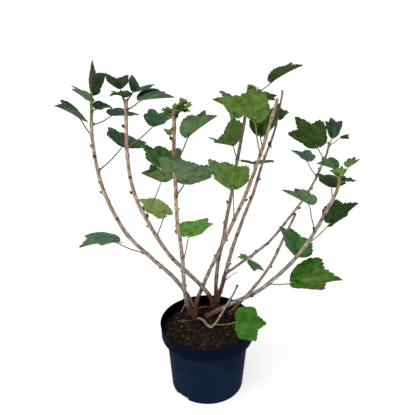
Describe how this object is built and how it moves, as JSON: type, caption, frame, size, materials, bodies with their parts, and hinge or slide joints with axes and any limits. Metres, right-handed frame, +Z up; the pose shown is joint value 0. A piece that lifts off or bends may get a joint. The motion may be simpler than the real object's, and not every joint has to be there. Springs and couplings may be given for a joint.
{
  "type": "potted redcurrant shrub",
  "caption": "Pruned redcurrant shrub with arching bare canes, lobed green leaves near their tips and a round dark blue nursery pot filled with soil.",
  "frame": {"origin": "centre of the pot's flat underside, on the surface it stands on", "axes": "+Z up; -Y is the front that the picture shows; +X to the viewer's right"},
  "size_m": [0.5244, 0.2907, 0.667],
  "materials": {
    "pot_plastic": "dark blue moulded plastic with a soft sheen",
    "potting_soil": "moist dark brown peat crumbs with light flecks",
    "cane_bark": "thin beige-brown bark, finely peeling, with nodes",
    "old_bark": "rough orange-brown to dark red-brown old bark",
    "twig_bark": "dry pale grey-beige bark",
    "leaf": "matt veined green leaf, paler underneath"
  },
  "bodies": {
    "root": {"cane_back": "cane_bark", "cane_back_right": "cane_bark", "cane_centre": "cane_bark", "cane_far_left": "cane_bark", "cane_far_right": "cane_bark", "cane_front": "cane_bark", "cane_left": "cane_bark", "cane_right": "cane_bark", "cane_short_right": "cane_bark", "leaf_back_1": "leaf", "leaf_back_2": "leaf", "leaf_centre_1": "leaf", "leaf_centre_2": "leaf", "leaf_centre_3": "leaf", "leaf_centre_4": "leaf", "leaf_far_left_1": "leaf", "leaf_far_left_2": "leaf", "leaf_far_right_1": "leaf", "leaf_far_right_2": "leaf", "leaf_far_right_3": "leaf", "leaf_far_right_4": "leaf", "leaf_far_right_5": "leaf", "leaf_front_1": "leaf", "leaf_front_2": "leaf", "leaf_front_3": "leaf", "leaf_front_4": "leaf", "leaf_left_1": "leaf", "leaf_left_2": "leaf", "leaf_left_3": "leaf", "leaf_right_1": "leaf", "leaf_right_2": "leaf", "leaf_right_3": "leaf", "leaf_rim": "leaf", "pot": "pot_plastic", "soil": "potting_soil", "stock_left": "old_bark", "stock_middle": "old_bark", "top_back": "leaf", "top_far_left": "leaf", "top_far_right": "leaf", "top_front": "leaf", "top_left": "leaf", "top_right": "leaf", "twig_pruned": "twig_bark"}
  },
  "joints": []
}
